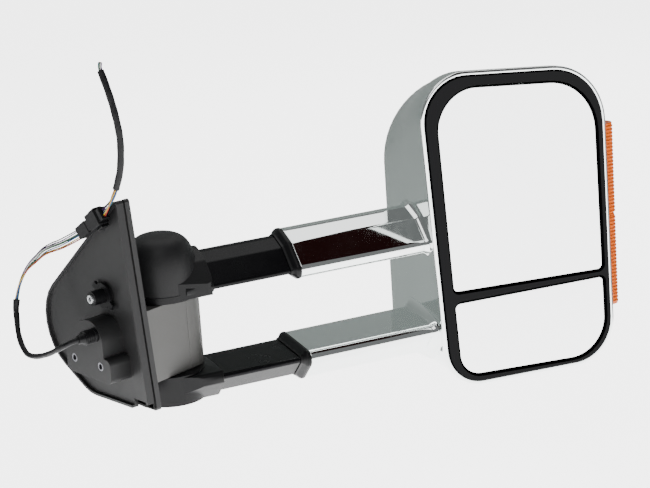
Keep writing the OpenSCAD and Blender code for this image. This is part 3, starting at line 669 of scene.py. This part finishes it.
class MIRROR_OT_loom(bpy.types.Operator):
    """Cable, coloured wires, connector and sleeve of the wiring loom"""

    bl_idname = "mirror.loom"
    bl_label = "Wiring loom"

    def execute(self, context):
        make_finishes(context.scene.mirror_look)
        across = DOOR.to_3x3() @ Vector((0.0, 0.58, 0.81))
        cable_line = smooth_route(on_door(CABLE_ROUTE), 40)
        swell = [1.12 + 0.08 * math.sin(9.7 * i) * math.sin(2.3 * i) + 0.03 * max(0, i - 30)
                 for i in range(len(cable_line))]
        cable = strand("loom_cable_skin", cable_line, CABLE_RADIUS, swell)
        cable.data.materials.append(FINISHES["cable_jacket"])
        keep(cable, "root", "wire_jacket", "loom_cable")

        wire_line = smooth_route(on_door(WIRES_ROUTE), 36)
        wires = wire_bundle(
            "loom_wires_skin", wire_line,
            lambda s: (0.0013 * min(1, 0.25 + 1.1 * s), max(0.0, 1 - 2.6 * s)), across, 0.5)
        keep(wires, "root", "wire_colours", "loom_wires")

        plug = rounded_copy("plug_housing", 0.5)
        fit_to(plug, "root", "black_plastic", FINISHES["black_plastic"], "plug_housing")
        socket = rounded_copy("socket_housing", 0.5)
        fit_to(socket, "root", "black_plastic", FINISHES["black_plastic"], "socket_housing")

        tail_line = smooth_route(on_door(PIGTAIL_ROUTE + SLEEVE_ROUTE + ENDS_ROUTE), 40)
        tail = wire_bundle(
            "pigtail_wires_skin", tail_line,
            lambda s: (0.0011, min(1.0, 6.5 * s)), across, 0.8)
        keep(tail, "root", "wire_colours", "pigtail_wires", "wire_ends")
        sleeve_line = smooth_route(on_door(SLEEVE_ROUTE), 40)
        rings = []
        for radius, run in ((SLEEVE_BORE, sleeve_line[::-1]), (SLEEVE_RADIUS, sleeve_line)):
            side = DOOR.to_3x3() @ Vector((1, 0, 0))
            for i, p in enumerate(run):
                ahead = run[min(i + 1, len(run) - 1)] - run[max(i - 1, 0)]
                if radius == SLEEVE_BORE:
                    ahead = -ahead
                ahead.normalize()
                out = (side - ahead * side.dot(ahead)).normalized()
                over = ahead.cross(out)
                ripple = 1 + 0.03 * math.sin(5.1 * i)
                rings.append([p + (out * math.cos(a) + over * math.sin(a)) * radius * ripple
                              for a in (2 * math.pi * k / 20 for k in range(20))])
        sleeve = loft("pigtail_sleeve_skin", rings + [rings[0]], capped=False)
        fit_to(sleeve, "root", "wire_jacket", FINISHES["cable_jacket"], "pigtail_sleeve")
        return {"FINISHED"}


# ---- Pieces of the door plate ----
class MIRROR_OT_door_plate(bpy.types.Operator):
    """Door plate, gasket and sail cover"""

    bl_idname = "mirror.door_plate"
    bl_label = "Door plate"

    def execute(self, context):
        edge = context.scene.mirror_sizes.plastic_edge
        fit_to(rounded_copy("base_plate", edge), "root", "plate_plastic",
               FINISHES["plate_plastic"], "base_plate")
        fit_to(rounded_copy("sail_cover", edge * 1.4), "root", "cover_plastic",
               FINISHES["cover_plastic"], "sail_cover")
        fit_to(rounded_copy("door_gasket", 0.6), "root", "foam", FINISHES["gasket_foam"],
               "door_gasket")
        return {"FINISHED"}


class MIRROR_OT_pad_fittings(bpy.types.Operator):
    """Stud, locating ring, cable gland and the connector's clip"""

    bl_idname = "mirror.pad_fittings"
    bl_label = "Pad fittings"

    def execute(self, context):
        axis = DOOR.to_3x3() @ Vector((1, 0, 0))
        centre = DOOR @ (Vector((0, -16, 28.5)) * MM)
        profile = [(8, 2.3), (8, 6.1), (7.6, 6.5), (-2.2, 6.5), (-2.6, 6.1)]
        profile += [(x, r) for k in range(4)
                    for x, r in ((-3.0 - 2.2 * k, 6.5), (-4.4 - 2.2 * k, 6.5),
                                 (-4.6 - 2.2 * k, 6.1), (-5.2 - 2.2 * k, 6.1))]
        profile += [(-12, 6.4), (-12.3, 5.0), (-14, 4.6), (-16, 4.2), (-17.6, 3.8), (-18, 3.4),
                    (-18, 2.3)]
        rings = [round_ring(centre + axis * x * MM, axis, r * MM, 48) for x, r in profile]
        gland = loft("cable_gland_skin", rings + [rings[0]], capped=False)
        fit_to(gland, "root", "black_plastic", FINISHES["black_plastic"], "cable_gland")
        for node, edge in (("stud_clip", 0.5), ("loom_clip", 0.4)):
            fit_to(rounded_copy(node, edge), "root", "black_plastic", FINISHES["black_plastic"],
                   node)
        fit_to(rounded_copy("upper_stud", 0.4), "root", "zinc_steel", FINISHES["zinc_steel"],
               "upper_stud")
        fit_to(rounded_copy("screw_inserts", 0.3), "root", "zinc_steel", FINISHES["dark_steel"],
               "screw_inserts")
        return {"FINISHED"}


class MIRROR_OT_pillar(bpy.types.Operator):
    """Both mouldings of the fixed pillar"""

    bl_idname = "mirror.pillar"
    bl_label = "Pillar"

    def execute(self, context):
        for node in ("pillar_cover", "pillar_nose"):
            fit_to(rounded_copy(node, 0.5), "root", "pillar_satin", FINISHES["pillar_plastic"],
                   node)
        return {"FINISHED"}


# ---- Pieces of the arms ----
class MIRROR_OT_dome(bpy.types.Operator):
    """Grained dome over the upper knuckle"""

    bl_idname = "mirror.dome"
    bl_label = "Dome"

    def execute(self, context):
        def level(radius, low, top, k, count=26):
            a = math.pi / 2 * k / count
            r = radius * math.cos(a) ** (2 / DOME_POWER) if k < count else radius * 0.004
            z = low + (top - low) * math.sin(a) ** (2 / DOME_POWER)
            return round_ring(PIVOT + Vector((0, 0, z * MM)), (0, 0, 1), r * MM, 96)

        rings = [level(29.5, DOME_LOW, DOME_TOP - 3, k) for k in range(26, -1, -1)]
        rings += [round_ring(PIVOT + Vector((0, 0, z * MM)), (0, 0, 1), r * MM, 96)
                  for z, r in ((DOME_LOW, 29.5), (DOME_LOW, 32.2), (DOME_LOW + 0.3, 32.5))]
        rings += [level(32.5, DOME_LOW + 0.6, DOME_TOP, k) for k in range(27)]
        dome = loft("upper_dome_skin", rings, sharp=50)
        fit_to(dome, "arm", "grain_plastic", FINISHES["dome_plastic"], "upper_dome")
        return {"FINISHED"}


class MIRROR_OT_knuckles(bpy.types.Operator):
    """Upper and lower knuckle and the cap under the lower one"""

    bl_idname = "mirror.knuckles"
    bl_label = "Knuckles"

    def execute(self, context):
        edge = context.scene.mirror_sizes.plastic_edge
        for node in ("upper_knuckle", "lower_knuckle", "lower_cap"):
            fit_to(rounded_copy(node, edge), "arm", "black_plastic",
                   FINISHES["knuckle_plastic"], node)
        return {"FINISHED"}


def hollow_run(name, section, profile_out, profile_in):
    """A hollow piece along X: outside profile outwards, then inside profile back, (x, inset)."""
    rings = [ring_x(section, inset, x) for x, inset in profile_out + profile_in]
    return loft(name, rings + [rings[0]], capped=False)


class MIRROR_OT_tubes(bpy.types.Operator):
    """Arm tubes"""

    bl_idname = "mirror.tubes"
    bl_label = "Arm tubes"

    def execute(self, context):
        for node, section in (("upper_tube", UPPER_SECTION), ("lower_tube", LOWER_SECTION)):
            tube = hollow_run(node + "_skin", section,
                              [(TUBE_START, 5.3), (TUBE_START + 0.3, 5),
                               (TUBE_END - 0.4, 5), (TUBE_END, 5.4)],
                              [(TUBE_END, 7.2), (TUBE_END - 0.4, 7.5),
                               (TUBE_START + 0.3, 7.5), (TUBE_START, 7.2)])
            fit_to(tube, "arm", "tube_coat", FINISHES["tube_coat"], node)
        return {"FINISHED"}


class MIRROR_OT_collars(bpy.types.Operator):
    """Flared collars at the inner ends of the sleeves"""

    bl_idname = "mirror.collars"
    bl_label = "Collars"

    def execute(self, context):
        for node, section, start in (("upper_collar", UPPER_SECTION, UPPER_SLEEVE_START),
                                     ("lower_collar", LOWER_SECTION, LOWER_SLEEVE_START)):
            outside = [(start - 9, 4.2), (start - 8.8, 3.9), (start - 8, 3.7)]
            outside += [(start - 8 + 5 * k / 8, 3.7 - 4.1 * (1 - math.cos(math.pi * k / 8)) / 2)
                        for k in range(1, 9)]
            outside += [(start - 2.6, -0.7), (start - 0.8, -0.7), (start - 0.1, -0.3),
                        (start, 0.4), (start, 2), (start + 12, 2)]
            inside = [(start + 12, 4.65), (start - 8.7, 4.65), (start - 9, 4.4)]
            collar = hollow_run(node + "_skin", section, outside, inside)
            fit_to(collar, "head", "black_plastic", FINISHES["black_plastic"], node)
        return {"FINISHED"}


# ---- Pieces of the head ----
class MIRROR_OT_sleeves(bpy.types.Operator):
    """Plated sleeves that run into the head"""

    bl_idname = "mirror.sleeves"
    bl_label = "Sleeves"

    def execute(self, context):
        for node, section, start in (("upper_sleeve", UPPER_SECTION, UPPER_SLEEVE_START),
                                     ("lower_sleeve", LOWER_SECTION, LOWER_SLEEVE_START)):
            outside = [(start, 0.7), (start + 0.15, 0.25), (start + 0.6, 0)]
            outside += [(start + 0.6 + (SLEEVE_END - start - 0.6) * k / 12, 0)
                        for k in range(1, 13)]
            inside = [(SLEEVE_END, 2), (start, 2)]
            sleeve = hollow_run(node + "_skin", section, outside, inside)
            fit_to(sleeve, "head", "chrome", FINISHES["chrome_plating"], node)
        return {"FINISHED"}


class MIRROR_OT_shell(bpy.types.Operator):
    """Plated rear shell of the head, with the flares around both sleeves"""

    bl_idname = "mirror.shell"
    bl_label = "Head shell"

    def execute(self, context):
        # Closed all round: the sleeves run through its side wall, which has no openings
        lip = [(0.0, -29), (0.0, -35.6), (-0.4, -36.6), (-1.4, -37.2), (-3.0, -37.2),
               (-4.1, -36.5), (-SHELL_OVERHANG, LIP_LINE)]
        side_run = SHELL_BACK - ROUND_DEPTH - LIP_LINE
        side = [(-SHELL_OVERHANG + 2.2 * math.sin(math.pi * k / 20), LIP_LINE + side_run * k / 20)
                for k in range(1, 21)]
        back = [(-SHELL_OVERHANG + ROUND_WIDTH * (1 - math.cos(math.pi / 2 * k / 18)),
                 SHELL_BACK - ROUND_DEPTH + ROUND_DEPTH * math.sin(math.pi / 2 * k / 18))
                for k in range(1, 19)]
        outer = [ring_y(head_at(y), inset, y) for inset, y in lip + side + back]
        wall = [(inset + SHELL_WALL, y - (SHELL_WALL if y > 40 else 0))
                for inset, y in (side + back)[::-1]]
        inner = [ring_y(head_at(y), inset, y) for inset, y in wall]
        bulge = 3 * MM
        rings = crowned(inner[0], bulge)[::-1] + inner + outer + crowned(outer[-1], bulge)
        shell = loft("rear_shell_skin", rings, sharp=50)
        flares = []
        for section, edge in ((UPPER_SECTION, 331.5), (LOWER_SECTION, 333.5)):
            arc = [math.pi / 2 * k / 10 for k in range(11)]
            outside = [(edge - 9 + 9 * math.sin(a), 0.15 - 9 * (1 - math.cos(a))) for a in arc]
            inside = [(edge + 2, -8.85), (edge + 2, 0.6), (edge - 9, 0.6)]
            flares.append(hollow_run("flare", section, outside, inside))
        shell = joined([shell] + flares, "rear_shell_skin")
        fit_to(shell, "head", "chrome", FINISHES["chrome_plating"], "rear_shell")
        return {"FINISHED"}


class MIRROR_OT_bezel(bpy.types.Operator):
    """Polished frame around both glasses"""

    bl_idname = "mirror.bezel"
    bl_label = "Bezel"

    def execute(self, context):
        bezel = rounded_copy("bezel", 1.6, segments=4)
        fit_to(bezel, "head", "gloss_black", FINISHES["bezel_gloss"], "bezel")
        return {"FINISHED"}


class MIRROR_OT_glasses(bpy.types.Operator):
    """Flat upper glass and wide-angle lower glass"""

    bl_idname = "mirror.glasses"
    bl_label = "Glasses"

    def execute(self, context):
        for node, corners, body, crown in (
                ("upper_glass", UPPER_GLASS, "upper_mirror", 0.0),
                ("lower_glass", LOWER_GLASS, "lower_mirror", 0.0012)):
            edge = [(0.5, -35), (0, -35.3), (0, -36.3), (0.25, -36.8), (0.7, -37)]
            rings = [ring_y(corners, inset, y) for inset, y in edge]
            if crown:
                rings += crowned(rings[-1], -crown)
            glass = loft(node + "_skin", rings, sharp=25)
            fit_to(glass, body, "mirror_glass", FINISHES["mirror_silver"], node)
        return {"FINISHED"}


class MIRROR_OT_indicator(bpy.types.Operator):
    """Ribbed amber lens along the head's outer edge"""

    bl_idname = "mirror.indicator"
    bl_label = "Indicator lens"

    def execute(self, context):
        pitch = context.scene.mirror_sizes.rib_pitch
        levels = [(LENS_LOW, 2.2), (LENS_LOW + 0.2, 1.2), (LENS_LOW + 0.8, 0.5), (RIBS_LOW, 0.3)]
        count = int(RIBS_RUN / pitch)
        step = RIBS_RUN / count
        for k in range(count):
            start = RIBS_LOW + RIBS_RUN * k / count
            split = 1.1 if k == count // 2 else 0.0
            levels += [(start + step * 0.25, split), (start + step * 0.55, split),
                       (start + step * 0.75, 0.65 + split), (start + step, 0.65 + split * 0.3)]
        levels += [(LENS_HIGH - 1.4, 0.4), (LENS_HIGH - 0.4, 1.0), (LENS_HIGH, 2.2)]
        lens = loft("indicator_lens_skin", [ring_z(LENS_OUTLINE, t, z) for z, t in levels])
        fit_to(lens, "head", "amber_lens", FINISHES["amber_lens"], "indicator_lens")
        return {"FINISHED"}


class MIRROR_OT_inner_parts(bpy.types.Operator):
    """Finishes of the parts inside, whose CAD shapes stay"""

    bl_idname = "mirror.inner_parts"
    bl_label = "Inner parts"

    def execute(self, context):
        chosen = {
            "natural_plastic": ("pivot_bushes", "upper_glide", "lower_glide", "pan_gear",
                                "tilt_gear", "pan_plunger", "tilt_plunger", "upper_gimbal",
                                "lower_gimbal"),
            "zinc_steel": ("bracket_screws", "pivot_tube", "pivot_nut", "tube_screws",
                           "frame_screws", "drive_motors"),
            "dark_steel": ("detent_rings", "disc_springs"),
            "cast_alloy": ("pivot_bracket",),
            "turned_brass": ("pan_pinion", "tilt_pinion"),
            "green_board": ("indicator_board",),
            "black_plastic": ("head_frame", "actuator_case", "lower_post", "upper_backing",
                              "lower_backing"),
        }
        for finish, nodes in chosen.items():
            for node in nodes:
                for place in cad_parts[node].material_slots:
                    place.material = FINISHES[finish]
        return {"FINISHED"}


PIECES = (
    MIRROR_OT_stage, MIRROR_OT_loom, MIRROR_OT_door_plate, MIRROR_OT_pad_fittings,
    MIRROR_OT_pillar, MIRROR_OT_dome, MIRROR_OT_knuckles, MIRROR_OT_tubes, MIRROR_OT_collars,
    MIRROR_OT_sleeves, MIRROR_OT_shell, MIRROR_OT_bezel, MIRROR_OT_glasses,
    MIRROR_OT_indicator, MIRROR_OT_inner_parts,
)


class MIRROR_PT_build(bpy.types.Panel):
    """Lists the mirror's settings and pieces"""

    bl_label = "Towing Mirror"
    bl_idname = "MIRROR_PT_build"
    bl_space_type = "VIEW_3D"
    bl_region_type = "UI"
    bl_category = "Mirror"

    def draw(self, context):
        for group in (context.scene.mirror_look, context.scene.mirror_sizes):
            for key in group.__annotations__:
                self.layout.prop(group, key)
        for piece in PIECES:
            self.layout.operator(piece.bl_idname)


CLASSES = (MirrorLook, MirrorSizes) + PIECES + (MIRROR_PT_build,)


def register():
    """Adds the classes and the scene's settings."""
    for cls in CLASSES:
        bpy.utils.register_class(cls)
    bpy.types.Scene.mirror_look = bpy.props.PointerProperty(type=MirrorLook)
    bpy.types.Scene.mirror_sizes = bpy.props.PointerProperty(type=MirrorSizes)


def unregister():
    """Takes them away again."""
    del bpy.types.Scene.mirror_sizes
    del bpy.types.Scene.mirror_look
    for cls in reversed(CLASSES):
        bpy.utils.unregister_class(cls)


def main():
    """Makes the stage and every piece."""
    register()
    for piece in PIECES:
        group, name = piece.bl_idname.split(".")
        getattr(getattr(bpy.ops, group), name)()
    deselect()


if __name__ == "__main__":
    main()
